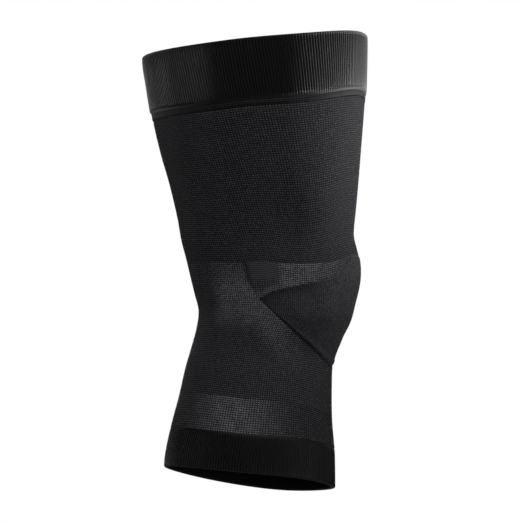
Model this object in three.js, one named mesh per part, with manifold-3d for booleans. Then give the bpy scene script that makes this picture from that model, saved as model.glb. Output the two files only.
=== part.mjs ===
// A knitted compression knee sleeve in the form it has when it is worn, in millimetres.
// The origin is the middle of the knee, +Z is up the thigh and the front of the knee faces -Y.
// The sleeve is the same on its left and right, so it fits either leg.

import * as THREE from "three";
import { mergeVertices } from "three/addons/utils/BufferGeometryUtils.js";
import Module from "manifold-3d";

const wasm = await Module();
wasm.setup();

// Lengths along the leg.
const thighLength = 163.6; // from the middle of the knee up to the middle of the top rim
const shinLength = 131.3; // from the middle of the knee down to the middle of the bottom rim
const topCuffHeight = 40;
const seamHeight = 3.9;
const kneeLineHeight = 17.5; // the knit line between the thigh and knee zones, above the middle of the knee
const gripHeight = 22.3;
const bottomCuffHeight = 27;

// Depths run from front to back and widths from side to side, over the plain knit.
const topDepth = 153.3;
const topWidth = 144;
const kneeDepth = 112.3;
const kneeWidth = 107;
const underKneeDepth = 96.3;
const underKneeWidth = 98;
const bottomDepth = 117.5;
const bottomWidth = 109;

// The bend of the knee, and how much lower each row of stitches lies at the sides than at front and back.
const thighSetback = 12.1; // the middle of the top rim lies this far behind the middle of the knee
const shinSetback = 15.6; // the middle of the bottom rim lies this far behind the middle of the knee
const sideDrop = 8.6;
const frontDip = 6.5; // the same for the two places between the front and the sides

// Walls of the knit.
const knitWall = 1.6;
const topCuffWall = 2.6;
const topCuffProud = 0.95;
const seamWall = 1.9;
const seamProud = 0.3;
const bottomCuffWall = 2.1;
const bottomCuffProud = 0.2;
const pieceGap = 0.3;

// The kneecap panel, a wedge of short rows that ends in a point at each side of the knee. At the front its
// upper edge reaches the knit line above the kneecap.
const panelBottomDepth = 51.5; // below the middle of the knee, at the front
const panelPointDepth = 10.2; // below the middle of the knee, at the points
const panelPointHeight = 2;
const panelReach = 86; // degrees from the front to each point
const panelProud = 0.5;

// How finely the knit is faceted.
const columns = 44;
const rowSpacing = 10;
const panelRows = 6;
const cutterReach = 4; // how far the panel's cutter passes through the wall on each side

// Where the pieces meet, measured up from the middle of the knee. Half the gap lies on each side of a line.
const halfGap = pieceGap / 2;
const topCuffBottom = thighLength - topCuffHeight;
const seamBottom = topCuffBottom - seamHeight;
const bottomCuffTop = -shinLength + bottomCuffHeight;
const gripTop = bottomCuffTop + gripHeight;

const topRim = { depth: topDepth, width: topWidth };
const knee = { depth: kneeDepth, width: kneeWidth };
const underKnee = { depth: underKneeDepth, width: underKneeWidth };
const bottomRim = { depth: bottomDepth, width: bottomWidth };

// The leg's sections from the top rim down. level is a share of thighLength above the middle of the knee, and
// of shinLength below it. The section's size lies between two named ones: blend is 0 at the one it goes from
// and 1 at the one it goes to. setback is a share of thighSetback or shinSetback, drop one of sideDrop and dip
// one of frontDip. tilt is the degrees by which the front of a row of stitches is raised over its back.
const sections = [
  { level: 1.0, from: knee, to: topRim, blend: 1.0, setback: 1.0, tilt: 5.3, drop: 0.58, dip: 0.2 },
  { level: 0.88, from: knee, to: topRim, blend: 0.93, setback: 0.9, tilt: 5.4, drop: 0.76, dip: 0.3 },
  { level: 0.755, from: knee, to: topRim, blend: 0.83, setback: 0.785, tilt: 5.5, drop: 0.88, dip: 0.45 },
  { level: 0.605, from: knee, to: topRim, blend: 0.65, setback: 0.635, tilt: 5.1, drop: 0.95, dip: 0.55 },
  { level: 0.455, from: knee, to: topRim, blend: 0.43, setback: 0.45, tilt: 4.3, drop: 0.99, dip: 0.7 },
  { level: 0.305, from: knee, to: topRim, blend: 0.23, setback: 0.33, tilt: 3.1, drop: 1.0, dip: 0.9 },
  { level: 0.205, from: knee, to: topRim, blend: 0.13, setback: 0.27, tilt: 2.1, drop: 1.0, dip: 1.0 },
  { level: 0.117, from: knee, to: topRim, blend: 0.08, setback: 0.06, tilt: 1.1, drop: 0.97, dip: 1.0 },
  { level: 0.038, from: knee, to: topRim, blend: 0.0, setback: -0.03, tilt: -0.1, drop: 0.88, dip: 0.9 },
  { level: -0.057, from: knee, to: underKnee, blend: 0.25, setback: -0.08, tilt: -1.5, drop: 0.74, dip: 0.7 },
  { level: -0.152, from: knee, to: underKnee, blend: 0.55, setback: -0.1, tilt: -2.9, drop: 0.58, dip: 0.45 },
  { level: -0.247, from: knee, to: underKnee, blend: 0.86, setback: 0.14, tilt: -4.4, drop: 0.42, dip: 0.2 },
  { level: -0.351, from: knee, to: underKnee, blend: 1.0, setback: 0.435, tilt: -5.9, drop: 0.29, dip: 0.0 },
  { level: -0.476, from: underKnee, to: bottomRim, blend: 0.19, setback: 0.6, tilt: -7.9, drop: 0.19, dip: -0.2 },
  { level: -0.639, from: underKnee, to: bottomRim, blend: 0.44, setback: 0.745, tilt: -9.2, drop: 0.13, dip: -0.35 },
  { level: -0.796, from: underKnee, to: bottomRim, blend: 0.77, setback: 0.88, tilt: -7.7, drop: 0.3, dip: -0.2 },
  { level: -1.0, from: underKnee, to: bottomRim, blend: 1.0, setback: 1.01, tilt: -7.5, drop: 0.23, dip: -0.1 },
];

// Bumps and hollows of the knee that show through the knit, each the same on both sides. height is the place
// above the middle of the knee and tall the distance over which it fades, both shares of kneeDepth, and so is
// rise. angle and wide are degrees round the leg from the front.
const bumps = [
  { name: "kneecap", height: 0.05, tall: 0.22, angle: 0, wide: 34, rise: 0.04 },
  { name: "hollow beside the kneecap", height: -0.02, tall: 0.16, angle: 52, wide: 20, rise: -0.018 },
  { name: "thigh muscle above the knee", height: 0.5, tall: 0.28, angle: 36, wide: 22, rise: 0.014 },
  { name: "groove behind that muscle", height: 0.42, tall: 0.26, angle: 64, wide: 15, rise: -0.016 },
  { name: "tendon under the kneecap", height: -0.36, tall: 0.16, angle: 0, wide: 20, rise: 0.016 },
  { name: "tendon behind the knee", height: 0.08, tall: 0.26, angle: 146, wide: 15, rise: 0.016 },
  { name: "hollow of the knee", height: -0.08, tall: 0.2, angle: 180, wide: 18, rise: -0.012 },
];

// The panel's upper and lower edges from the front to its point. turn is a share of panelReach. upper is a
// share of the height from the point's level up to the knit line, and lower one of that down to
// panelBottomDepth.
const panelEdges = [
  { turn: 0.0, upper: 1.0, lower: 1.0 },
  { turn: 0.13, upper: 1.0, lower: 0.945 },
  { turn: 0.16, upper: 0.86, lower: 0.93 },
  { turn: 0.24, upper: 0.71, lower: 0.875 },
  { turn: 0.37, upper: 0.62, lower: 0.775 },
  { turn: 0.58, upper: 0.527, lower: 0.575 },
  { turn: 0.81, upper: 0.315, lower: 0.31 },
  { turn: 0.93, upper: 0.13, lower: 0.125 },
  { turn: 1.0, upper: 0.0, lower: 0.0 },
];

/** Reads one column of a table where another column has a given value, on a smooth curve through its rows. */
function readTable(table, place, column, value) {
  const rising = table[0][place] < table.at(-1)[place];
  const rows = rising ? table : [...table].reverse();
  const last = rows.length - 1;
  const at = THREE.MathUtils.clamp(value, rows[0][place], rows[last][place]);
  let row = 0;
  while (row < last - 1 && at > rows[row + 1][place]) row += 1;
  const slope = (i) => {
    const before = rows[Math.max(i - 1, 0)];
    const after = rows[Math.min(i + 1, last)];
    const level = before[column] === rows[i][column] || after[column] === rows[i][column];
    return level ? 0 : (after[column] - before[column]) / (after[place] - before[place]);
  };
  const span = rows[row + 1][place] - rows[row][place];
  const t = (at - rows[row][place]) / span;
  const start = rows[row][column] * (1 + 2 * t) * (1 - t) ** 2;
  const end = rows[row + 1][column] * (3 - 2 * t) * t ** 2;
  return start + end + span * t * (1 - t) * (slope(row) * (1 - t) - slope(row + 1) * t);
}

/** The section table with its shares worked out in millimetres. */
const legSections = sections.map((row) => {
  const upper = row.level > 0;
  return {
    height: row.level * (upper ? thighLength : shinLength),
    depth: THREE.MathUtils.lerp(row.from.depth, row.to.depth, row.blend),
    width: THREE.MathUtils.lerp(row.from.width, row.to.width, row.blend),
    setback: row.setback * (upper ? thighSetback : shinSetback),
    tilt: THREE.MathUtils.degToRad(row.tilt),
    drop: row.drop * sideDrop,
    dip: row.dip * frontDip,
  };
});

/** How far the bumps and hollows lift the knit at an angle from the front and a height. */
function bumpLift(angle, height) {
  const fade = (distance, reach) => Math.exp(-2 * (distance / reach) ** 2);
  const turn = THREE.MathUtils.radToDeg(Math.abs(Math.atan2(Math.sin(angle), Math.cos(angle))));
  return bumps.reduce((lift, bump) => {
    const round = fade(turn - bump.angle, bump.wide);
    const along = fade(height - kneeDepth * bump.height, kneeDepth * bump.tall);
    return lift + kneeDepth * bump.rise * round * along;
  }, 0);
}

/** A point on the outside of the plain knit. angle turns from the front of the knee towards -X. */
function legPoint(angle, height) {
  const read = (column) => readTable(legSections, "height", column, height);
  const lift = bumpLift(angle, height);
  const forward = (read("depth") / 2 + lift) * Math.cos(angle);
  const sideways = (read("width") / 2 + lift) * Math.sin(angle);
  const tilt = read("tilt");
  const dip = Math.cos(angle) > 0 ? read("dip") * Math.sin(2 * angle) ** 2 : 0;
  return new THREE.Vector3(
    -sideways,
    read("setback") - forward * Math.cos(tilt),
    height + forward * Math.sin(tilt) - read("drop") * Math.sin(angle) ** 2 - dip,
  );
}

/** A point that lies off the plain knit by a distance, outwards if it is more than zero. */
function knitPoint(angle, height, off) {
  const step = 0.5;
  const turn = THREE.MathUtils.degToRad(step);
  const round = legPoint(angle + turn, height).sub(legPoint(angle - turn, height));
  const along = legPoint(angle, height + step).sub(legPoint(angle, height - step));
  const outward = along.cross(round).normalize();
  return legPoint(angle, height).addScaledVector(outward, off);
}

/** Makes a closed geometry from points and faces of four corners. */
function closedGeometry(points, faces) {
  const index = faces.flatMap(([a, b, c, d]) => [a, b, c, a, c, d]);
  const geometry = new THREE.BufferGeometry();
  geometry.setAttribute("position", new THREE.Float32BufferAttribute(points.flatMap((p) => p.toArray()), 3));
  geometry.setIndex(index);
  return geometry;
}

/** Heights from one end of a piece to the other, no further apart than rowSpacing. */
function rowHeights(start, end) {
  const rows = Math.max(1, Math.ceil(Math.abs(end - start) / rowSpacing));
  return Array.from({ length: rows + 1 }, (_, i) => THREE.MathUtils.lerp(start, end, i / rows));
}

/** The cut through a tube's wall, down the outside and up the inside, with round or square ends. */
function wallOutline({ top, bottom, proud, wall, roundTop = false, roundBottom = false }) {
  const radius = wall / 2;
  const middle = proud - radius;
  const roundEnd = (end, side, from) =>
    [from, 0, -from].map((turn) => ({
      height: end - side * radius * (1 - Math.cos(turn)),
      off: middle + radius * Math.sin(turn),
    }));
  const outside = rowHeights(roundTop ? top - radius : top, roundBottom ? bottom + radius : bottom);
  const corner = Math.PI / 4;
  return [
    ...outside.map((height) => ({ height, off: proud })),
    ...(roundBottom ? roundEnd(bottom, -1, corner) : []),
    ...[...outside].reverse().map((height) => ({ height, off: proud - wall })),
    ...(roundTop ? roundEnd(top, 1, -corner) : []),
  ];
}

/** A tube of knit round the leg, from the outline of its wall. */
function knitTube(wall) {
  const outline = wallOutline(wall);
  const count = outline.length;
  const points = [];
  const faces = [];
  for (let column = 0; column < columns; column += 1) {
    const angle = (2 * Math.PI * column) / columns;
    const next = (column + 1) % columns;
    outline.forEach(({ height, off }, i) => {
      points.push(knitPoint(angle, height, off));
      const below = (i + 1) % count;
      faces.push([column * count + i, next * count + i, next * count + below, column * count + below]);
    });
  }
  return closedGeometry(points, faces);
}

/** Where the panel's upper or lower edge lies, laid out flat, at a share of the way to a point. */
function flatPanelEdge(turn, edge) {
  const side = edge === "upper" ? 1 : -1;
  const start = -panelPointDepth + (side * panelPointHeight) / 2;
  const end = edge === "upper" ? kneeLineHeight - halfGap : -panelBottomDepth;
  const share = readTable(panelEdges, "turn", edge, Math.abs(turn));
  const reach = THREE.MathUtils.degToRad(panelReach) * (kneeWidth / 2);
  return new THREE.Vector2(turn * reach, THREE.MathUtils.lerp(start, end, share));
}

/** The same place moved out of the panel by a margin, as an angle from the front and a height. */
function panelEdgePlace(turn, edge, margin) {
  const step = 0.004;
  const side = edge === "upper" ? 1 : -1;
  const place = flatPanelEdge(turn, edge);
  const before = flatPanelEdge(Math.max(turn - step, -1), edge);
  const after = flatPanelEdge(Math.min(turn + step, 1), edge);
  const outward = new THREE.Vector2(before.y - after.y, after.x - before.x).multiplyScalar(side).normalize();
  if (Math.abs(turn) === 1) outward.set(turn, side);
  place.addScaledVector(outward, margin);
  return { angle: place.x / (kneeWidth / 2), height: place.y };
}

/** Shares of the panel's reach from point to point, at the rows of its table and halfway between them. */
function panelTurns() {
  const turns = panelEdges.map((row) => row.turn);
  const halfway = turns.slice(1).map((turn, i) => (turn + turns[i]) / 2);
  const oneSide = [...turns, ...halfway].sort((a, b) => a - b);
  return [...oneSide.slice(1).reverse().map((turn) => -turn), ...oneSide];
}

/** The kneecap panel, grown by a margin all round, between an outer and an inner distance off the knit. */
function panelGeometry(margin, outer, inner) {
  const turns = panelTurns();
  const across = turns.length - 1;
  const points = [];
  for (const off of [outer, inner]) {
    for (const turn of turns) {
      const upper = panelEdgePlace(turn, "upper", margin);
      const lower = panelEdgePlace(turn, "lower", margin);
      for (let j = 0; j <= panelRows; j += 1) {
        const angle = THREE.MathUtils.lerp(upper.angle, lower.angle, j / panelRows);
        const height = THREE.MathUtils.lerp(upper.height, lower.height, j / panelRows);
        points.push(knitPoint(angle, height, off));
      }
    }
  }
  const layer = (across + 1) * (panelRows + 1);
  const at = (i, j, inside) => i * (panelRows + 1) + j + (inside ? layer : 0);
  const faces = [];
  for (let i = 0; i < across; i += 1) {
    for (let j = 0; j < panelRows; j += 1) {
      faces.push([at(i, j), at(i + 1, j), at(i + 1, j + 1), at(i, j + 1)]);
      faces.push([at(i, j, 1), at(i, j + 1, 1), at(i + 1, j + 1, 1), at(i + 1, j, 1)]);
    }
    faces.push([at(i, 0), at(i, 0, 1), at(i + 1, 0, 1), at(i + 1, 0)]);
    faces.push([at(i, panelRows, 1), at(i, panelRows), at(i + 1, panelRows), at(i + 1, panelRows, 1)]);
  }
  for (let j = 0; j < panelRows; j += 1) {
    faces.push([at(0, j, 1), at(0, j), at(0, j + 1), at(0, j + 1, 1)]);
    faces.push([at(across, j), at(across, j, 1), at(across, j + 1, 1), at(across, j + 1)]);
  }
  return closedGeometry(points, faces);
}

/** Cuts one closed geometry out of another. */
function cutGeometry(body, cutter) {
  const solid = (geometry) => {
    const merged = mergeVertices(geometry);
    const vertProperties = new Float32Array(merged.attributes.position.array);
    const triVerts = new Uint32Array(merged.index.array);
    return new wasm.Manifold(new wasm.Mesh({ numProp: 3, vertProperties, triVerts }));
  };
  const mesh = solid(body).subtract(solid(cutter)).getMesh();
  const geometry = new THREE.BufferGeometry();
  geometry.setAttribute("position", new THREE.Float32BufferAttribute(mesh.vertProperties, 3));
  geometry.setIndex(Array.from(mesh.triVerts));
  return geometry;
}

/** Names a piece and gives it its yarn's finish. */
function piece(name, geometry, color, roughness) {
  geometry.computeVertexNormals();
  const mesh = new THREE.Mesh(geometry, new THREE.MeshStandardMaterial({ color, roughness, metalness: 0 }));
  mesh.name = name;
  return mesh;
}

const topCuff = knitTube({
  top: thighLength,
  bottom: topCuffBottom + halfGap,
  proud: topCuffProud,
  wall: topCuffWall,
  roundTop: true,
});

const cuffSeam = knitTube({
  top: topCuffBottom - halfGap,
  bottom: seamBottom + halfGap,
  proud: seamProud,
  wall: seamWall,
});

const thighKnit = knitTube({
  top: seamBottom - halfGap,
  bottom: kneeLineHeight + halfGap,
  proud: 0,
  wall: knitWall,
});

const kneeTube = knitTube({
  top: kneeLineHeight - halfGap,
  bottom: gripTop + halfGap,
  proud: 0,
  wall: knitWall,
});
const kneeKnit = cutGeometry(kneeTube, panelGeometry(pieceGap, cutterReach, -knitWall - cutterReach));

const kneecapPanel = panelGeometry(0, panelProud, -knitWall);

const gripBand = knitTube({
  top: gripTop - halfGap,
  bottom: bottomCuffTop + halfGap,
  proud: 0,
  wall: knitWall,
});

const bottomCuff = knitTube({
  top: bottomCuffTop - halfGap,
  bottom: -shinLength,
  proud: bottomCuffProud,
  wall: bottomCuffWall,
  roundBottom: true,
});

const kneeSleeve = new THREE.Group();
kneeSleeve.add(
  piece("top_cuff", topCuff, 0x17171a, 0.75),
  piece("cuff_seam", cuffSeam, 0x1b1b1e, 0.8),
  piece("thigh_knit", thighKnit, 0x202124, 0.8),
  piece("knee_knit", kneeKnit, 0x2a2b2e, 0.75),
  piece("kneecap_panel", kneecapPanel, 0x1f2023, 0.85),
  piece("grip_band", gripBand, 0x303134, 0.7),
  piece("bottom_cuff", bottomCuff, 0x17171a, 0.75),
);

export default kneeSleeve;
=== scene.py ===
# %% [markdown]
# # A knitted compression knee sleeve
#
# The sleeve is knitted in one go as a tube, and its zones differ in stitch, yarn and thickness. This lesson
# dresses the measured model of it with knitted pieces, one for each zone: a ribbed cuff round the thigh,
# the narrow strip under it, the plain knit of the thigh, the finer knit of the knee with the panel in front
# of the kneecap, the lighter band round the calf and the ribbed cuff that ends the sleeve. All pieces lie
# on one form, the leg's.

import math

import bpy
import numpy as np
from mathutils import Matrix, Vector


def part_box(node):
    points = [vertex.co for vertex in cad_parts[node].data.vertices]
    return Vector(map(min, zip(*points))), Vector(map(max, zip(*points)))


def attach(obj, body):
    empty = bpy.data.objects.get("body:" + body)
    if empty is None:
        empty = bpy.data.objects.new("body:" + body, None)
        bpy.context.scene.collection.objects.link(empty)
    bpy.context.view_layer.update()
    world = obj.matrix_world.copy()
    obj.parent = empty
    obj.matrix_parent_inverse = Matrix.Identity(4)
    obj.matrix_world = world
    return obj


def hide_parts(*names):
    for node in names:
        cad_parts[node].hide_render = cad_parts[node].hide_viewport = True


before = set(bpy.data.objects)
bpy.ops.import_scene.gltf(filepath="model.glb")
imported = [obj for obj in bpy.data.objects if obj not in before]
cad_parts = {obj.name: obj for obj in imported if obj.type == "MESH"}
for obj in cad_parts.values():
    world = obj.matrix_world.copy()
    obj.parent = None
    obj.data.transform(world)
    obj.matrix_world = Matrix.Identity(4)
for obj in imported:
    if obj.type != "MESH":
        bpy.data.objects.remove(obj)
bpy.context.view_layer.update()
MM = 0.001
print("nodes:", ", ".join(sorted(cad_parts)))

# %% [markdown]
# ## The sizes of the sleeve
#
# A fabric that is pulled tight over a leg has the leg's form. The sizes are in millimetres, with the middle
# of the knee at the origin, +Z up the thigh and the front of the knee towards -Y. They could be read from
# the measured pieces, but a form that is worked out gives a stitch its place at any angle and height.

# %% Sizes along and round the leg
thigh_length, shin_length = 163.6, 131.3
cuff_height, seam_height = 40.0, 3.9
knee_line = 17.5
grip_height, hem_height = 22.3, 27.0
piece_gap = 0.1

cuff_bottom = thigh_length - cuff_height
seam_bottom = cuff_bottom - seam_height
hem_top = -shin_length + hem_height
grip_top = hem_top + grip_height

rim_size = (153.3, 144.0)
knee_size = (112.3, 107.0)
under_knee_size = (96.3, 98.0)
hem_size = (117.5, 109.0)
thigh_setback, shin_setback = 12.1, 15.6
side_drop, front_dip = 8.6, 6.5


def knee_line_at(turn):
    """The height of the knit line above the knee, which waves a little round the front."""
    wave = 1.3 * np.exp(-(((turn - 51) / 11) ** 2)) - 1.0 * np.exp(-(((turn - 26) / 7) ** 2))
    return knee_line + wave


print("zones end at", cuff_bottom, seam_bottom, knee_line, grip_top, hem_top)

# %% The leg's sections
# Share of the thigh's or shin's length, the two sizes it lies between and how far along, then the shares of
# the setback, the tilt in degrees, and the shares of the drop at the sides and of the dip beside the front.
section_rows = [
    (1.0, knee_size, rim_size, 1.0, 1.0, 5.3, 0.58, 0.2),
    (0.88, knee_size, rim_size, 0.93, 0.9, 5.4, 0.76, 0.3),
    (0.755, knee_size, rim_size, 0.83, 0.785, 5.5, 0.88, 0.45),
    (0.605, knee_size, rim_size, 0.65, 0.635, 5.1, 0.95, 0.55),
    (0.455, knee_size, rim_size, 0.43, 0.45, 4.3, 0.99, 0.7),
    (0.305, knee_size, rim_size, 0.23, 0.33, 3.1, 1.0, 0.9),
    (0.205, knee_size, rim_size, 0.13, 0.27, 2.1, 1.0, 1.0),
    (0.117, knee_size, rim_size, 0.08, 0.06, 1.1, 0.97, 1.0),
    (0.038, knee_size, rim_size, 0.0, -0.03, -0.1, 0.88, 0.9),
    (-0.057, knee_size, under_knee_size, 0.25, -0.08, -1.5, 0.74, 0.7),
    (-0.152, knee_size, under_knee_size, 0.55, -0.1, -2.9, 0.58, 0.45),
    (-0.247, knee_size, under_knee_size, 0.86, 0.14, -4.4, 0.42, 0.2),
    (-0.351, knee_size, under_knee_size, 1.0, 0.435, -5.9, 0.29, 0.0),
    (-0.476, under_knee_size, hem_size, 0.19, 0.6, -7.9, 0.19, -0.2),
    (-0.639, under_knee_size, hem_size, 0.44, 0.745, -9.2, 0.13, -0.35),
    (-0.796, under_knee_size, hem_size, 0.77, 0.88, -7.7, 0.3, -0.2),
    (-1.0, under_knee_size, hem_size, 1.0, 1.01, -7.5, 0.23, -0.1),
]


def worked_out(row):
    """A section's height, depth, width, setback, tilt, drop and dip, in millimetres and radians."""
    level, start, end, blend, setback, tilt, drop, dip = row
    length, back = (thigh_length, thigh_setback) if level > 0 else (shin_length, shin_setback)
    depth, width = (a + (b - a) * blend for a, b in zip(start, end))
    return level * length, depth, width, setback * back, math.radians(tilt), drop * side_drop, dip * front_dip


columns = np.array([worked_out(row) for row in section_rows][::-1]).T
section_height = columns[0]
section = dict(zip(("depth", "width", "setback", "tilt", "drop", "dip"), columns[1:]))
print("sections:", len(section_height))

# %% Bumps and hollows of the knee
# Height and reach along the leg as shares of the knee's depth, angle and reach round it in degrees, and the
# rise.
bumps = [
    (0.05, 0.22, 0, 34, 0.04),
    (-0.02, 0.16, 52, 20, -0.018),
    (0.5, 0.28, 36, 22, 0.014),
    (0.42, 0.26, 64, 15, -0.016),
    (-0.36, 0.16, 0, 20, 0.016),
    (0.08, 0.26, 146, 15, 0.016),
    (-0.08, 0.2, 180, 18, -0.012),
]


def turn_of(angle):
    """Degrees from the front, the same on both sides."""
    return np.degrees(np.abs(np.arctan2(np.sin(angle), np.cos(angle))))


def bump_lift(angle, height):
    """How far the knee's bumps lift the knit, in millimetres."""
    lift = np.zeros(np.broadcast(angle, height).shape)
    for level, tall, middle, wide, rise in bumps:
        round_it = np.exp(-2 * ((turn_of(angle) - middle) / wide) ** 2)
        along_it = np.exp(-2 * ((height - knee_size[0] * level) / (knee_size[0] * tall)) ** 2)
        lift = lift + knee_size[0] * rise * round_it * along_it
    return lift


# %% Points on the leg
def smooth_read(places, values, at):
    """A smooth curve through a table's rows, level where a neighbouring row has the same value."""
    before = np.concatenate([values[:1], values[:-1]])
    after = np.concatenate([values[1:], values[-1:]])
    span = np.concatenate([places[1:], places[-1:]]) - np.concatenate([places[:1], places[:-1]])
    slope = np.where((before == values) | (after == values), 0.0, (after - before) / span)
    at = np.clip(at, places[0], places[-1])
    row = np.clip(np.searchsorted(places, at, side="right") - 1, 0, len(places) - 2)
    step = places[row + 1] - places[row]
    t = (at - places[row]) / step
    start = values[row] * (1 + 2 * t) * (1 - t) ** 2
    end = values[row + 1] * (3 - 2 * t) * t**2
    return start + end + step * t * (1 - t) * (slope[row] * (1 - t) - slope[row + 1] * t)


def leg_point(angle, height):
    """A point on the outside of the plain knit, in millimetres. angle turns from the front towards -X."""
    read = {name: smooth_read(section_height, values, height) for name, values in section.items()}
    lift = bump_lift(angle, height)
    forward = (read["depth"] / 2 + lift) * np.cos(angle)
    sideways = (read["width"] / 2 + lift) * np.sin(angle)
    dip = np.where(np.cos(angle) > 0, read["dip"] * np.sin(2 * angle) ** 2, 0)
    up = height + forward * np.sin(read["tilt"]) - read["drop"] * np.sin(angle) ** 2 - dip
    return np.stack([-sideways, read["setback"] - forward * np.cos(read["tilt"]), up], axis=-1)


def knit_point(angle, height, off):
    """A point that lies off the plain knit by a distance, outwards if it is more than zero."""
    turn = math.radians(0.5)
    round_it = leg_point(angle + turn, height) - leg_point(angle - turn, height)
    along_it = leg_point(angle, height + 0.5) - leg_point(angle, height - 0.5)
    outward = np.cross(along_it, round_it)
    outward /= np.linalg.norm(outward, axis=-1, keepdims=True)
    return leg_point(angle, height) + outward * np.asarray(off)[..., None]


print("front of the knee:", leg_point(np.array(0.0), np.array(0.0)).round(1))

# %% [markdown]
# ## Where the wales run
#
# A wale is a column of stitches, and it is what the eye follows on a knit. On a straight tube the wales run
# straight down. On this sleeve they lean: the fabric slides forward round the thigh, because the knee is
# bent, and comes a little back over the shin. The lean is a distance by which the wales have slid at each
# height. Each piece has a rest height, where its own wales start without any slide.

# %% The slide of the wales
slide_height = np.array([-131.3, -104.3, -82.0, -30.0, 17.5, 119.7, 123.6, 163.6])
slide_length = np.array([21.0, 22.5, 23.6, 26.0, 26.0, 5.4, 5.0, 0.0])
solving_rounds = 12


def slide_share(height, rest):
    """The slide at a height as a share of the leg's radius there, counted from the rest height."""
    radius = (smooth_read(section_height, section["depth"], height)
              + smooth_read(section_height, section["width"], height)) / 4
    slid = np.interp(height, slide_height, slide_length) - np.interp(rest, slide_height, slide_length)
    return slid / radius


def wale_angle(share, height, rest):
    """The angle of a wale, from its share of the way round, which starts at the back."""
    turn = 2 * np.pi * (share - 0.5)
    return turn - slide_share(height, rest) * np.sin(turn)


def wale_share(angle, height, rest):
    """The share of the way round at which the wale through an angle lies."""
    slid = slide_share(height, rest)
    turn = angle
    # The slide depends on the wale's own turn, so that turn is worked out in a few rounds.
    for _ in range(solving_rounds):
        turn = angle + slid * np.sin(turn)
    return turn / (2 * np.pi) + 0.5


print("slide at the knee:", np.interp(knee_line, slide_height, slide_length), "mm")

# %% [markdown]
# ## From a flat sheet to a tube
#
# Every piece starts as a flat grid, as knitting does: columns across and rows down. Its vertices are then
# laid on the leg, its two side edges are sewn together and it gets a wall. A cylinder could be scaled to
# fit instead, but a flat sheet brings a UV map along, and that map, counted in stitches, is what the knit
# patterns are drawn on.

# %% A flat sheet
def pick(piece):
    """Makes one object the only one selected."""
    bpy.ops.object.select_all(action="DESELECT")
    piece.select_set(True)
    bpy.context.view_layer.objects.active = piece


def flat_sheet(name, across, down):
    """Adds a flat grid, and gives how far across and down it each vertex lies, as shares."""
    bpy.ops.object.select_all(action="DESELECT")
    bpy.ops.mesh.primitive_grid_add(x_subdivisions=across, y_subdivisions=down, size=1, location=(0, 0, 0))
    sheet = bpy.context.object
    sheet.name = sheet.data.name = name
    flat = np.empty(len(sheet.data.vertices) * 3, np.float32)
    sheet.data.vertices.foreach_get("co", flat)
    flat = flat.reshape(-1, 3).astype(float)
    share = np.round((flat[:, 0] + 0.5) * across) / across
    row = np.round((0.5 - flat[:, 1]) * down).astype(int)
    return sheet, share, row


# %% Lay it on the leg
def lay(sheet, points, stitches):
    """Moves a sheet's vertices to points in millimetres, and writes their stitches into its UV map."""
    mesh = sheet.data
    mesh.vertices.foreach_set("co", (points * MM).astype(np.float32).ravel())
    corners = np.empty(len(mesh.loops), np.int32)
    mesh.loops.foreach_get("vertex_index", corners)
    layer = mesh.uv_layers[0]
    layer.name = "stitches"
    layer.data.foreach_set("uv", stitches[corners].astype(np.float32).ravel())
    mesh.update()


def paint(sheet, name, values):
    """Gives a sheet a value at each vertex, which its material reads."""
    attribute = sheet.data.attributes.new(name, "FLOAT", "POINT")
    attribute.data.foreach_set("value", np.asarray(values, np.float32))


# %% Sew its edges together and give it a wall
merge_distance = 0.02
smooth_angle = 60
leg_middle = (0, 6)


def sew(sheet):
    """Merges the edges that meet, and turns the faces outwards."""
    pick(sheet)
    bpy.ops.object.mode_set(mode="EDIT")
    bpy.ops.mesh.select_all(action="SELECT")
    bpy.ops.mesh.remove_doubles(threshold=merge_distance * MM)
    bpy.ops.mesh.normals_make_consistent(inside=False)
    bpy.ops.object.mode_set(mode="OBJECT")


def add_wall(sheet, wall):
    """Gives a sheet its thickness on the inside."""
    pick(sheet)
    bpy.ops.object.modifier_add(type="SOLIDIFY")
    thickness = sheet.modifiers[-1]
    thickness.thickness = wall * MM
    thickness.offset = -1
    bpy.ops.object.modifier_apply(modifier=thickness.name)
    bpy.ops.object.shade_smooth_by_angle(angle=math.radians(smooth_angle))


def outward_share(sheet):
    """The share of a sheet's faces that point away from the leg's middle, about half once it has a wall."""
    mesh = sheet.data
    normals = np.empty(len(mesh.polygons) * 3, np.float32)
    centres = np.empty(len(mesh.polygons) * 3, np.float32)
    mesh.polygons.foreach_get("normal", normals)
    mesh.polygons.foreach_get("center", centres)
    normals, centres = normals.reshape(-1, 3), centres.reshape(-1, 3)
    away = centres[:, :2] - np.array(leg_middle) * MM
    return float(((normals[:, :2] * away).sum(axis=1) > 0).mean())


def triangles(sheet):
    """How many triangles a sheet has."""
    return sum(len(face.vertices) - 2 for face in sheet.data.polygons)


# %% [markdown]
# ## The ribbed cuff round the thigh
#
# The cuff is a doubled knit of one rib up, one rib down, and its ribs are deep enough to shade each other.
# They are therefore real: six columns of faces for each rib. The sheet is rolled over the rim like the real
# cuff, so that its first and last rows meet inside and close the wall. The ribs end a little above the
# seam, where the strip is plain.

# %% A doubled cuff
course = 1.43
columns_per_rib = 6
rib_power = 0.8


def rib_profile(share, ribs):
    """The height across the ribs, from 0 in a groove to 1 on a ridge, which is rounder than a plain wave."""
    return np.abs(np.sin(np.pi * share * ribs)) ** rib_power


def spaced(start, end, step):
    """Places from one end to the other, no further apart than a step."""
    return np.linspace(start, end, max(2, math.ceil(abs(end - start) / step) + 1))


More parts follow.
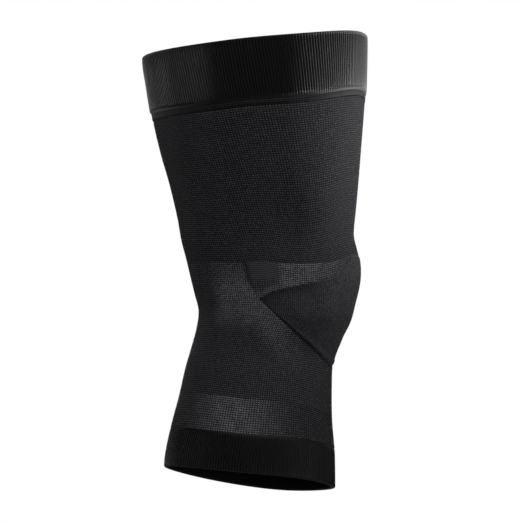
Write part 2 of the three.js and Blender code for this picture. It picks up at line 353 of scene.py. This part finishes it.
def ribbed_cuff(name, ribs, outline, rib_height, rest):
    """Rolls a sheet along a closed outline of (height, off, rib) and gives it ribs."""
    outline = np.array(outline + outline[:1])
    sheet, share, row = flat_sheet(name, ribs * columns_per_rib, len(outline) - 1)
    height, off, rib = outline[row].T
    groove = rib_height * rib * (1 - rib_profile(share, ribs))
    points = knit_point(wale_angle(share, height, rest), height, off - groove)
    steps = np.hypot(np.diff(outline[:, 0]), np.diff(outline[:, 1]))
    path = np.concatenate([[0], np.cumsum(steps)])
    lay(sheet, points, np.stack([share * ribs, path[row] / course], axis=-1))
    paint(sheet, "rib", rib)
    sew(sheet)
    bpy.ops.object.shade_smooth()
    return sheet


# %% The top cuff
# The outline starts at the seam, level with the strip there, and runs up the outside, over a rim that is a
# little squarer than round, and down the inside.
cuff_ribs, cuff_rib_height, cuff_rest = 228, 0.8, 140.0
cuff_wall, cuff_proud = 2.6, 0.95
rim_power, rim_rib = 0.6, 0.15
low = cuff_bottom + piece_gap / 2
high = thigh_length - cuff_wall / 2
middle = cuff_proud - cuff_wall / 2
rim_turns = np.radians([12, 35, 60, 90, 120, 145, 168])
rim_up = [math.sin(turn) ** rim_power for turn in rim_turns]
rim_out = [math.copysign(abs(math.cos(turn)) ** rim_power, math.cos(turn)) for turn in rim_turns]
round_rim = [(high + cuff_wall / 2 * rise, middle + cuff_wall / 2 * reach, rim_rib)
             for rise, reach in zip(rim_up, rim_out)]
cuff_outline = [
    (low, cuff_proud - 0.95, 0.0),
    (low + 0.3, cuff_proud - 0.8, 0.0),
    (low + 1.1, cuff_proud - 0.75, 0.0),
    (low + 2.0, cuff_proud - 0.65, 0.2),
    (low + 2.8, cuff_proud - 0.1, 0.9),
    *[(h, cuff_proud, 1.0) for h in spaced(low + 3.8, high - 1.2, 5)],
    (high, cuff_proud - 0.1, 0.4),
    *round_rim,
    *[(h, cuff_proud - cuff_wall, 0.3) for h in spaced(high, low, 8)],
]
top_cuff = ribbed_cuff("knit_top_cuff", cuff_ribs, cuff_outline, cuff_rib_height, cuff_rest)
print("top cuff:", triangles(top_cuff), "triangles, outward", round(outward_share(top_cuff), 2))

# %% The bottom cuff
# It ends in a rolled edge, which the outline follows round below.
hem_ribs, hem_rib_height, hem_rest = 184, 0.65, -118.0
hem_wall, hem_proud = 2.1, 0.2
high = hem_top - piece_gap / 2
low = -shin_length + hem_wall / 2
middle = hem_proud - hem_wall / 2
rolled_edge = [(low - hem_wall / 2 * math.sin(turn), middle + hem_wall / 2 * math.cos(turn), 0.3)
               for turn in np.radians([25, 55, 90, 125, 155])]
hem_outline = [
    (high, hem_proud - 0.35, 0.0),
    (high - 0.6, hem_proud - 0.3, 0.0),
    (high - 1.4, hem_proud - 0.15, 0.4),
    (high - 2.4, hem_proud, 1.0),
    *[(h, hem_proud, 1.0) for h in spaced(high - 5, low, 5)],
    *rolled_edge,
    *[(h, hem_proud - hem_wall, 0.7) for h in spaced(low, high, 6)],
]
bottom_cuff = ribbed_cuff("knit_bottom_cuff", hem_ribs, hem_outline[::-1], hem_rib_height, hem_rest)
print("bottom cuff:", triangles(bottom_cuff), "triangles, outward", round(outward_share(bottom_cuff), 2))

# %% [markdown]
# ## The plain tubes
#
# The strip under the cuff, the thigh and the band above the bottom cuff are plain tubes. Their stitches are
# far smaller than a rib, so they are left to the material, and the mesh only carries the form: the strip's
# drawn-in edges, and a soft crease in front of the thigh muscle.

# %% A plain tube
knit_wall = 1.6


def plain_tube(name, top, bottom, across, down, wales, off, rest, pale_highlight=None, end=None):
    """Rolls a flat sheet into a tube between two heights. off gives the distance off the knit at each place,
    the optional paint the strength of a painted highlight, and end a bottom edge that isn't level."""
    sheet, share, row = flat_sheet(name, across, down)
    height = top + (bottom - top) * row / down
    angle = wale_angle(share, height, rest)
    if end:
        height = top + (end(turn_of(angle)) - top) * row / down
    points = knit_point(angle, height, off(angle, height))
    lay(sheet, points, np.stack([share * wales, -height / course], axis=-1))
    if pale_highlight:
        paint(sheet, "pale_highlight", pale_highlight(angle, height))
    sew(sheet)
    add_wall(sheet, knit_wall)
    return sheet


# %% The strip between the two stitch lines
seam_proud = 0.3
seam_top = cuff_bottom - piece_gap / 2
seam_end = seam_bottom + piece_gap / 2


def seam_off(angle, height):
    """The strip is level with the cuff, and drawn in at its stitch lines, most of all at the lower one."""
    up_share = (height - seam_end) / (seam_top - seam_end)
    lower_line = 0.7 * (1 - up_share) ** 6
    upper_line = 0.3 * up_share**10
    return seam_proud - lower_line - upper_line


cuff_seam = plain_tube("knit_cuff_seam", seam_top, seam_end, across=264, down=10, wales=cuff_ribs,
                       off=seam_off, rest=cuff_rest)
print("seam strip:", triangles(cuff_seam), "triangles, outward", round(outward_share(cuff_seam), 2))

# %% The thigh
crease_turn, crease_height, crease_depth = 57.5, 36, 0.45
edge_depth = 0.4


def thigh_off(angle, height):
    """A soft crease in front of the thigh muscle, and a top edge that beds into the seam."""
    crease = np.exp(-(((turn_of(angle) - crease_turn) / 2.6) ** 2))
    crease = crease * np.exp(-(((height - crease_height) / 15) ** 2))
    top_edge = np.exp(-(((height - seam_bottom) / 0.7) ** 2))
    return -crease_depth * crease - edge_depth * top_edge


def thigh_end(turn):
    """The thigh ends just above the knit line."""
    return knee_line_at(turn) + piece_gap / 2


thigh_wales, thigh_rest = 228, 68.0
thigh_knit = plain_tube("knit_thigh", seam_bottom - piece_gap / 2, knee_line + piece_gap / 2, across=300,
                        down=84, wales=thigh_wales, off=thigh_off, rest=thigh_rest, end=thigh_end)
print("thigh:", triangles(thigh_knit), "triangles, outward", round(outward_share(thigh_knit), 2))

# %% The lighter band above the bottom cuff
grip_proud = 0.12


def grip_off(angle, height):
    """Flush with the knit, and a little proud where it meets the top of the cuff."""
    return grip_proud * np.exp(-(((height - hem_top) / 1.5) ** 2))


def grip_highlight(angle, height):
    """A painted highlight over the side of the calf, brightest a little behind its middle."""
    turn = turn_of(angle)
    return np.exp(-(((turn - 92) / 30) ** 2)) * (0.8 + 0.2 * np.sin(turn * 0.35) * np.sin(height * 0.3))


grip_wales, grip_rest = 190, -93.0
grip_band = plain_tube("knit_grip_band", grip_top - piece_gap / 2, hem_top + piece_gap / 2, across=264,
                       down=20, wales=grip_wales, off=grip_off, rest=grip_rest, pale_highlight=grip_highlight)
print("grip band:", triangles(grip_band), "triangles, outward", round(outward_share(grip_band), 2))

# %% [markdown]
# ## The knee and its panel
#
# The panel in front of the kneecap is knitted in as a wedge of short rows: it is tall at the front and runs
# out to a point at each side. The knit round it could be cut with a boolean, but then its edge would be
# ragged and its UV map torn. Instead the rows of the sheet are parted along the panel's edges and the faces
# between them are deleted.

# %% The panel's edges
panel_bottom, panel_point, point_height = 51.5, 10.2, 2.0
panel_reach, panel_proud = 86.0, 0.5
# Share of the reach, and the shares of the way from the point to the knit line and to the panel's bottom.
edge_rows = np.array([
    (0.0, 1.0, 1.0), (0.13, 1.0, 0.945), (0.16, 0.86, 0.93), (0.24, 0.71, 0.875), (0.37, 0.62, 0.775),
    (0.58, 0.527, 0.575), (0.81, 0.315, 0.31), (0.93, 0.13, 0.125), (1.0, 0.0, 0.0),
]).T


def upper_edge(turn):
    """The height of the panel's upper edge, at degrees from the front."""
    share = smooth_read(edge_rows[0], edge_rows[1], turn / panel_reach)
    start = -panel_point + point_height / 2
    return start + (knee_line - piece_gap / 2 - start) * share


def lower_edge(turn):
    """The height of the panel's lower edge, at degrees from the front."""
    share = smooth_read(edge_rows[0], edge_rows[2], turn / panel_reach)
    start = -panel_point - point_height / 2
    return start + (-panel_bottom - start) * share


print("panel from", upper_edge(np.array(0.0)), "to", lower_edge(np.array(0.0)), "mm")

# %% The knee's knit, parted round the panel
knee_wales, knee_rest = 212, 0.0
knee_columns, rows_above, rows_below = 432, 18, 54
panel_gap = 0.12
knee_knit, share, row = flat_sheet("knit_knee", knee_columns, rows_above + 1 + rows_below)
angle = 2 * np.pi * (share - 0.5)
turn = turn_of(angle)
is_above = row <= rows_above
down_above = row / rows_above
down_below = (row - rows_above - 1) / rows_below
knee_top = knee_line_at(turn) - piece_gap / 2
knee_end = grip_top + piece_gap / 2
open_above, open_below = upper_edge(turn) + panel_gap, lower_edge(turn) - panel_gap
height = np.where(is_above, knee_top + (np.minimum(open_above, knee_top) - knee_top) * down_above,
                  open_below + (knee_end - open_below) * down_below)
print("knee rows:", rows_above, "above the points and", rows_below, "below")

# %% A groove under the panel's lower edge
groove_depth = 0.25
under_edge = lower_edge(turn) - height
edge_strength = np.interp(turn, [0, 20, 52, 70, 84], [0.7, 1, 1, 0.35, 0])
groove = np.where(~is_above, np.exp(-((under_edge / 1.5) ** 2)), 0) * edge_strength
off = -groove_depth * groove
points = knit_point(angle, height, off)
wales = wale_share(angle, height, knee_rest) * knee_wales
lay(knee_knit, points, np.stack([wales, -height / course], axis=-1))
print("deepest groove:", off.min().round(2), "mm")

# %% [markdown]
# The knit round the knee isn't even. Its open stitches are painted paler in two places, as painted highlights
# where they catch the light: one in front, between the knit line and the panel, and one behind the panel's
# point that runs on below its lower edge. Between them the fabric is smooth and dark, a painted shade where
# the same yarn turns from the light, with one thin dark line of painted shade along a fold. These are painted
# on the vertices, because they follow the panel and not the stitches.

# %% Painted highlights and painted shade round the knee
def ramp(value, start, end):
    """0 before start, 1 after end, and smooth between them."""
    t = np.clip((value - start) / (end - start), 0, 1)
    return t * t * (3 - 2 * t)


# Painted highlights: the open knit is painted paler in these places, where it catches the light.
front_patch = (0.45 * ramp(turn, 12, 34) + 0.55 * ramp(turn, 34, 50)) * (1 - ramp(turn, 68.4, 73)) * is_above
behind_start = 86.5 + 6.0 * ramp(height, -9, 6)
behind = ramp(turn - behind_start, 0, 3.5) * (1 - ramp(turn, 110 + ramp(-height, -17, 25) * 6, 130))
behind = behind * (1 - ramp(-height, 16, 38)) * (0.35 + 0.65 * ramp(-height, -17, 4))
under = ramp(turn, 30, 84) * (1 - ramp(turn, 94, 104)) * (1 - ramp(under_edge, 9, 27)) * ~is_above
over_point = 0.6 * ramp(turn, 60, 70) * (1 - ramp(turn, 88, 91)) * is_above
over_point = over_point * (1 - ramp(height - upper_edge(turn), 2, 7))
pale_highlight = np.clip(np.maximum.reduce([front_patch, behind, under, over_point]), 0, 1)
# Painted shade: the place between the highlights is painted an even, dark tone, where the yarn turns from the
# light.
smooth_shade = 0.9 * ramp(turn, 69, 74) * (1 - ramp(turn, 89, 94)) * is_above
smooth_shade = smooth_shade * ramp(height, 1.5, 7)
# Painted shade: a thin dark line along a fold.
shade_line_turn = 94.2 - 0.15 * (17.0 - height)
shade_line = 0.4 * np.exp(-(((turn - shade_line_turn) / 1.6) ** 2)) * ramp(height, -8, 4)
paint(knee_knit, "pale_highlight", pale_highlight)
paint(knee_knit, "smooth_shade", smooth_shade)
paint(knee_knit, "shade_line", shade_line)
print("pale share:", pale_highlight.mean().round(3), "smooth share:", smooth_shade.mean().round(3))

# %% Delete the faces of the opening, then sew the sheet
# Near the front the panel reaches up to the knit line, so the rows above it have no height and go as well.
closed_reach = 0.135 * panel_reach
pick(knee_knit)
bpy.ops.object.mode_set(mode="EDIT")
bpy.ops.mesh.select_mode(type="FACE")
bpy.ops.mesh.select_all(action="DESELECT")
bpy.ops.object.mode_set(mode="OBJECT")
for face in knee_knit.data.polygons:
    corners = list(face.vertices)
    face_turn = turn[corners].mean()
    parted = row[corners].min() == rows_above and row[corners].max() == rows_above + 1
    closed = row[corners].max() <= rows_above and face_turn < closed_reach
    face.select = bool((parted and face_turn < panel_reach) or closed)
bpy.ops.object.mode_set(mode="EDIT")
bpy.ops.mesh.delete(type="FACE")
bpy.ops.mesh.select_mode(type="VERT")
bpy.ops.object.mode_set(mode="OBJECT")
sew(knee_knit)
add_wall(knee_knit, knit_wall)
print("knee:", triangles(knee_knit), "triangles, outward", round(outward_share(knee_knit), 2))

# %% The kneecap panel
# It stands a little proud, and its lower edge is drawn up into a bead over the groove.
panel_wales, panel_course, panel_wall = 232, 1.3, 1.9
panel_columns, panel_rows = 300, 60
bead_height = 0.4
short_of_point = 0.9995
panel, share, row = flat_sheet("knit_kneecap_panel", panel_columns, panel_rows)
angle = np.radians(panel_reach) * (2 * share - 1) * short_of_point
turn = turn_of(angle)
down = row / panel_rows
top, bottom = upper_edge(turn), lower_edge(turn)
height = top + (bottom - top) * down
to_top, to_bottom = top - height, height - bottom
edge_strength = np.interp(turn, [0, 20, 52, 70, 84], [0.6, 1, 1, 0.4, 0])
lit_bead = bead_height * edge_strength * np.exp(-(((to_bottom - 1.6) / 1.2) ** 2))
rounding = 0.55 * np.exp(-((to_bottom / 0.6) ** 2)) + 0.55 * np.exp(-((to_top / 0.6) ** 2))
rounding = rounding * ramp(panel_reach - turn, 0.5, 7)
points = knit_point(angle, height, panel_proud * ramp(panel_reach - turn, 0, 6) + lit_bead - rounding)
wales = wale_share(angle, height, knee_rest) * panel_wales
lay(panel, points, np.stack([wales, -height / panel_course], axis=-1))
# Painted light: the panel is painted lighter towards its front, where the light falls.
paint(panel, "lit_front", 1 - ramp(turn, 18, 62))
# Painted highlight on the bead.
paint(panel, "lit_bead", lit_bead / bead_height)
# Painted shade along the upper edge, towards the points.
paint(panel, "shade", ramp(turn, 32, 56) * np.exp(-((to_top / 5.0) ** 2)))
sew(panel)
add_wall(panel, panel_wall)
print("panel:", triangles(panel), "triangles, outward", round(outward_share(panel), 2))

# %% [markdown]
# ## The fabrics
#
# The sleeve is knitted from black polyamide yarn round an elastic core. Polyamide is a smooth, slightly
# glossy thread with an IOR near 1.53, and in a knit its gloss is broken up by the stitches. Where the yarn
# is packed tightly, as in the ribs, the fabric stays black and only its edges shine. Where the stitches are
# open, more yarn lies across the light and the fabric looks grey. So the fabrics share one yarn and differ
# in colour, in gloss and in how deep the stitches are.

# %% Colours and nodes
def linear(hex_colour):
    """An sRGB hex colour as linear RGBA."""
    parts = [int(hex_colour[i:i + 2], 16) / 255 for i in (1, 3, 5)]
    return [c / 12.92 if c <= 0.04045 else ((c + 0.055) / 1.055) ** 2.4 for c in parts] + [1.0]


def add_node(tree, kind, inputs=None, **settings):
    """Adds one node with its settings. An input is a value, or an output that is linked to it."""
    node = tree.nodes.new("ShaderNode" + kind)
    for name, value in settings.items():
        setattr(node, name, value)
    for name, value in (inputs or {}).items():
        if isinstance(value, bpy.types.NodeSocket):
            tree.links.new(value, node.inputs[name])
        else:
            node.inputs[name].default_value = value
    return node


# %% [markdown]
# A plain knit shows columns of small Vs. Each V is two threads that slant down to the middle of the wale.
# The pattern is worked out from the map of stitches: one unit across is a wale, which is 1.5 to 2 mm wide
# on the leg, and one down is a course of 1.43 mm. An image could hold it, but a formula stays sharp at any
# distance.

# %% The stitches of a plain knit
def stitch_pattern(tree, slant, depth_along):
    """Gives the height of the stitches, from 0 between the wales to 1 on the threads, the place on the map of
    stitches, and each stitch's number."""
    place = add_node(tree, "UVMap", uv_map="stitches").outputs["UV"]
    split = add_node(tree, "SeparateXYZ", {0: place})
    wale, row_place = split.outputs["X"], split.outputs["Y"]
    to_middle = add_node(tree, "Math", {0: wale, 1: 0.5}, operation="PINGPONG").outputs[0]
    # A thread is highest a third of the way in from the gap, and a little lower where the two threads meet.
    across = add_node(tree, "Math", {0: to_middle, 1: 1.44 * math.pi}, operation="MULTIPLY").outputs[0]
    thread = add_node(tree, "Math", {0: across}, operation="SINE").outputs[0]
    phase = add_node(tree, "Math", {0: to_middle, 1: 2 * slant, 2: row_place},
                     operation="MULTIPLY_ADD").outputs[0]
    turn_round = add_node(tree, "Math", {0: phase, 1: 2 * math.pi}, operation="MULTIPLY").outputs[0]
    wave = add_node(tree, "Math", {0: turn_round}, operation="COSINE").outputs[0]
    along = add_node(tree, "Math", {0: wave, 1: depth_along / 2, 2: 1 - depth_along / 2},
                     operation="MULTIPLY_ADD").outputs[0]
    stitch = add_node(tree, "Math", {0: thread, 1: along}, operation="MULTIPLY").outputs[0]
    wale_number = add_node(tree, "Math", {0: wale}, operation="FLOOR").outputs[0]
    course_number = add_node(tree, "Math", {0: phase}, operation="ROUND").outputs[0]
    number = add_node(tree, "CombineXYZ", {"X": wale_number, "Y": course_number}).outputs["Vector"]
    return stitch, place, number


# %% A knitted fabric
def knit_fabric(name, yarn, gap, roughness, gloss, sheen, depth, slant=0.5, depth_along=0.95, uneven=0.4,
                sheen_roughness=0.45):
    """Makes a knit: yarn and gap are its two colours, depth the height of its stitches in millimetres."""
    fabric = bpy.data.materials.new(name)
    fabric.use_nodes = True
    tree = fabric.node_tree
    tree.nodes.clear()
    stitch, place, number = stitch_pattern(tree, slant, depth_along)
    # Stitches differ a little one by one, and in patches about nine stitches wide.
    chance = add_node(tree, "TexWhiteNoise", {"Vector": number}, noise_dimensions="2D").outputs["Value"]
    worn = add_node(tree, "TexNoise", {"Vector": place, "Scale": 0.11, "Detail": 3.0}).outputs["Fac"]
    mixed = add_node(tree, "Math", {0: chance, 1: uneven, 2: 1 - uneven}, operation="MULTIPLY_ADD").outputs[0]
    broad = add_node(tree, "Math", {0: worn, 1: 0.3, 2: 0.85}, operation="MULTIPLY_ADD").outputs[0]
    lift = add_node(tree, "Math", {0: mixed, 1: broad}, operation="MULTIPLY").outputs[0]
    lit = add_node(tree, "Math", {0: stitch, 1: lift}, operation="MULTIPLY").outputs[0]
    colour = add_node(tree, "Mix", {"Factor": lit, "A": linear(gap), "B": linear(yarn)}, data_type="RGBA",
                      clamp_factor=True).outputs["Result"]
    relief = add_node(tree, "Bump", {"Height": lit, "Distance": depth * MM, "Strength": 1.0})
    skin = add_node(tree, "BsdfPrincipled", {
        "Base Color": colour, "Roughness": roughness, "IOR": 1.53, "Specular IOR Level": gloss,
        "Sheen Weight": sheen, "Sheen Roughness": sheen_roughness,
        "Normal": relief.outputs["Normal"]})
    add_node(tree, "OutputMaterial", {"Surface": skin.outputs["BSDF"]})
    return fabric, {"tree": tree, "colour": colour, "skin": skin, "stitch": lit}


def wear(piece, fabric):
    """Gives a piece one fabric."""
    piece.data.materials.clear()
    piece.data.materials.append(fabric)


# %% The six fabrics
# Each has its yarn and gap colour, then its roughness, gloss, sheen and the height of its stitches. The
# ribs are packed so tightly that the yarn looks black and shines. The seam's overlocked threads lie flat.
# The knit of the thigh and knee is loose enough to look grey, the padded panel is denser and duller, and
# the band is the lightest.
ribbed, rib_parts = knit_fabric("ribbed_polyamide_knit", "#0a0a0b", "#020202", 0.34, 0.22, 0.15, 0.12,
                                slant=0.3, depth_along=0.4, uneven=0.5, sheen_roughness=0.3)
seam_fabric, _ = knit_fabric("overlocked_seam_knit", "#27272b", "#020202", 0.6, 0.08, 0.03, 0.25,
                             slant=0.3, depth_along=0.8)
plain_fabric, _ = knit_fabric("plain_polyamide_knit", "#4c4c52", "#020202", 0.75, 0.05, 0.02, 0.4)
fine_fabric, fine_parts = knit_fabric("fine_polyamide_knit", "#535359", "#020202", 0.7, 0.06, 0.02, 0.35)
panel_fabric, panel_parts = knit_fabric("padded_panel_knit", "#444448", "#020202", 0.8, 0.05, 0.02, 0.4,
                                        slant=0.5, depth_along=0.5)
grip_fabric, grip_parts = knit_fabric("grip_band_knit", "#4a4a4e", "#020203", 0.65, 0.05, 0.02, 0.35)
print("fabrics:", len(bpy.data.materials))

# %% Gloss on the ridges of the ribs
# The yarn down in a groove is hidden from the lamps, and so are the plain ends of the cuff. They are left
# rough, and only the ridges are smooth enough to shine.
ridge_rough, groove_rough = 0.34, 0.6
tree = rib_parts["tree"]
rib_place = add_node(tree, "UVMap", uv_map="stitches").outputs["UV"]
rib_across = add_node(tree, "SeparateXYZ", {0: rib_place}).outputs["X"]
from_groove = add_node(tree, "Math", {0: rib_across, 1: 0.5}, operation="PINGPONG").outputs[0]
on_ridge = add_node(tree, "MapRange", {"Value": from_groove, "From Min": 0.1, "From Max": 0.32},
                    interpolation_type="SMOOTHSTEP").outputs["Result"]
rib_at = add_node(tree, "Attribute", attribute_name="rib").outputs["Fac"]
shining = add_node(tree, "Math", {0: on_ridge, 1: rib_at}, operation="MULTIPLY").outputs[0]
rough = add_node(tree, "Math", {0: shining, 1: ridge_rough - groove_rough, 2: groove_rough},
                 operation="MULTIPLY_ADD").outputs[0]
tree.links.new(rough, rib_parts["skin"].inputs["Roughness"])
print("ribs' roughness from", ridge_rough, "to", groove_rough)

# %% [markdown]
# Some places look different, and their values were painted on the vertices. They are painted light and shade:
# highlights where the knit catches the light, and shade where it turns away or lies under an edge.
# Each value lays another colour over the fabric's own, as far as its strength lets it.

# %% Colours over the painted places
def colour_over(parts, layers):
    """Lays colours over a fabric's own. Each layer is the name of its values, its strength and its colour."""
    tree, colour = parts["tree"], parts["colour"]
    for values, strength, other in layers:
        painted = add_node(tree, "Attribute", attribute_name=values).outputs["Fac"]
        share = add_node(tree, "Math", {0: painted, 1: strength}, operation="MULTIPLY").outputs[0]
        colour = add_node(tree, "Mix", {"Factor": share, "A": colour, "B": other},
                          data_type="RGBA").outputs["Result"]
    tree.links.new(colour, parts["skin"].inputs["Base Color"])
    print("layers over", parts["tree"].id_data.name, len(layers))


# %% Painted highlights round the knee, and the painted shade of the smooth place and of the line
knee_highlight_colour = add_node(fine_parts["tree"], "Mix", {
    "Factor": fine_parts["stitch"], "A": linear("#040405"), "B": linear("#83838a")},
    data_type="RGBA").outputs["Result"]
colour_over(fine_parts, [
    ("pale_highlight", 1, knee_highlight_colour),
    ("smooth_shade", 1, linear("#3a3a3e")),
    ("shade_line", 1, linear("#0d0d0f")),
])

# %% The painted highlight over the grip band's stitches
grip_highlight_colour = add_node(grip_parts["tree"], "Mix", {
    "Factor": grip_parts["stitch"], "A": linear("#040405"), "B": linear("#8a8a91")},
    data_type="RGBA").outputs["Result"]
colour_over(grip_parts, [("pale_highlight", 1, grip_highlight_colour)])

# %% Painted light on the panel's front and a painted highlight on its bead, and painted shade along its upper edge
lit_front_colour = add_node(panel_parts["tree"], "Mix", {
    "Factor": panel_parts["stitch"], "A": linear("#020203"), "B": linear("#515155")},
    data_type="RGBA").outputs["Result"]
colour_over(panel_parts, [
    ("lit_front", 1, lit_front_colour),
    ("lit_bead", 0.5, lit_front_colour),
    ("shade", 0.5, linear("#060607")),
])

# %% Dress the pieces
dressed = [
    (top_cuff, "top_cuff", "ribbed_knit", ribbed, (0.425, 0.040), None),
    (cuff_seam, "cuff_seam", "seam_knit", seam_fabric, None, None),
    (thigh_knit, "thigh_knit", "plain_knit", plain_fabric, (0.37, 0.102), None),
    (knee_knit, "knee_knit", "fine_knit", fine_fabric, (0.31, 0.098), 0.0245),
    (panel, "kneecap_panel", "panel_knit", panel_fabric, (0.150, 0.066), 0.0052),
    (grip_band, "grip_band", "grip_knit", grip_fabric, (0.315, 0.0222), None),
    (bottom_cuff, "bottom_cuff", "ribbed_knit", ribbed, (0.325, 0.0268), None),
]
for piece, node, slot, fabric, flat, area in dressed:
    wear(piece, fabric)
    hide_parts(node)
    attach(piece, "root")
    low_corner, high_corner = (np.array(corner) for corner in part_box(node))
    corners = np.array([list(v.co) for v in piece.data.vertices])
    beyond_high = ((corners.max(0) - high_corner) / MM).round(1)
    beyond_low = ((low_corner - corners.min(0)) / MM).round(1)
    print(node, "grows by", beyond_high, beyond_low)

# %% [markdown]
# ## The studio
#
# The sleeve is photographed from the side against white. Black fabric shows only what lights it. Two soft
# boxes stand high, one over the camera and one to its right, so that they light the plain knit and the
# cuffs reflect little of them. A weak one level with the knee lifts the panel. Three small lamps are aimed
# at the top cuff from beside it and draw its bright ribs at both ends, and a tall one behind draws the left
# edge. The last soft box lights the far side of the sleeve, and doesn't show from here. The world is white
# to the camera alone, because a white room would wash out the black.

# %% The camera
# It stands far off with a long lens. The picture's width is measured in metres at the sleeve, and the aim
# puts the sleeve where it stands in the photograph.
view_turn, view_rise = math.radians(-75.0), math.radians(-7.6)
back = Vector((math.sin(view_turn) * math.cos(view_rise), -math.cos(view_turn) * math.cos(view_rise),
               math.sin(view_rise)))
right = Vector((math.cos(view_turn), math.sin(view_turn), 0))
up = back.cross(right)
camera_distance, picture_width, sensor_width = 10.0, 0.35496, 36
aim_height, aim_right, aim_up = 0.016, -0.00748, 0.00034
aim = Vector((0, 0, aim_height)) + right * aim_right + up * aim_up
camera_data = bpy.data.cameras.new("camera")
camera = bpy.data.objects.new("camera", camera_data)
bpy.context.scene.collection.objects.link(camera)
turned = Matrix((right, up, back)).transposed().to_4x4()
camera.matrix_world = Matrix.Translation(aim + back * camera_distance) @ turned
camera_data.sensor_width = sensor_width
camera_data.lens = sensor_width * camera_distance / picture_width
camera_data.clip_end = 100
bpy.context.scene.camera = camera
print("camera at", [round(c, 3) for c in camera.location])

# %% The lamps
def lamp(name, turn, distance, rise, width, height, power, spread=180, aim_rise=0.0):
    """A rectangular lamp that faces the leg's middle line at a height. turn is its angle from the camera, in
    degrees to the right, and spread the angle of its beam."""
    light = bpy.data.lights.new(name, "AREA")
    light.shape = "RECTANGLE"
    light.size, light.size_y, light.energy = width, height, power
    light.spread = math.radians(spread)
    stand = bpy.data.objects.new(name, light)
    bpy.context.scene.collection.objects.link(stand)
    place = right * distance * math.sin(math.radians(turn)) + back * distance * math.cos(math.radians(turn))
    place += Vector((0, 0, rise))
    stand.location = place
    stand.rotation_euler = (Vector((0, 0, aim_rise)) - place).to_track_quat("-Z", "Y").to_euler()


# Turn, distance, height above the knee, width, height and watts. The beam and aim of the small lamps follow.
to_cuff = (24, 0.15)
lamp_list = [
    ("left_rim", -142, 1.6, -0.25, 0.4, 0.8, 1.5),
    ("side_softbox", 60, 2.4, 0.0, 1.4, 2.0, 3.5),
    ("high_right", 65, 2.0, 2.6, 1.4, 1.4, 25.0),
    ("high_front", 0, 2.0, 2.6, 1.4, 1.4, 70.0),
    ("cuff_right", 102, 1.0, 0.05, 0.15, 0.15, 0.28, *to_cuff),
    ("cuff_strip", 118, 1.0, 0.05, 0.15, 0.15, 0.08, *to_cuff),
    ("cuff_left", -108, 1.0, 0.05, 0.15, 0.15, 0.045, *to_cuff),
    ("back_softbox", 180, 2.4, 0.9, 1.4, 2.0, 45),
]
for settings in lamp_list:
    lamp(*settings)
print("lamps:", len(bpy.data.lights))

# %% The floor
floor_size, floor_level = 40, -1.45
bpy.ops.object.select_all(action="DESELECT")
bpy.ops.mesh.primitive_plane_add(size=floor_size, location=(0, 0, floor_level))
floor = bpy.context.object
floor.name = "floor"
floor_paint = bpy.data.materials.new("pale_studio_floor")
floor_paint.use_nodes = True
tree = floor_paint.node_tree
tree.nodes.clear()
seen = add_node(tree, "LightPath").outputs["Is Camera Ray"]
matt = add_node(tree, "BsdfDiffuse", {"Color": linear("#b0b0b0")}).outputs[0]
bright = add_node(tree, "Emission", {"Color": linear("#eeeeee"), "Strength": 1.0}).outputs[0]
shown = add_node(tree, "MixShader", {0: seen, 1: matt, 2: bright}).outputs[0]
add_node(tree, "OutputMaterial", {"Surface": shown})
floor.data.materials.append(floor_paint)
print("floor at", floor_level, "m")

# %% The world
world = bpy.data.worlds.new("white_studio")
bpy.context.scene.world = world
world.use_nodes = True
tree = world.node_tree
tree.nodes.clear()
seen = add_node(tree, "LightPath").outputs["Is Camera Ray"]
room = add_node(tree, "Background", {"Color": [1, 1, 1, 1], "Strength": 0.01}).outputs[0]
white = add_node(tree, "Background", {"Color": [1, 1, 1, 1], "Strength": 1.0}).outputs[0]
both = add_node(tree, "MixShader", {0: seen, 1: room, 2: white}).outputs[0]
add_node(tree, "OutputWorld", {"Surface": both})
bpy.context.scene.view_settings.view_transform = "Standard"
print("world:", world.name)

# %% [markdown]

# %% The triangles of all the pieces
# The strip is narrower than a sheet, so it is declared as a hem of the top cuff.
total = sum(triangles(piece) for piece, *_ in dressed)
print("triangles in all:", total)
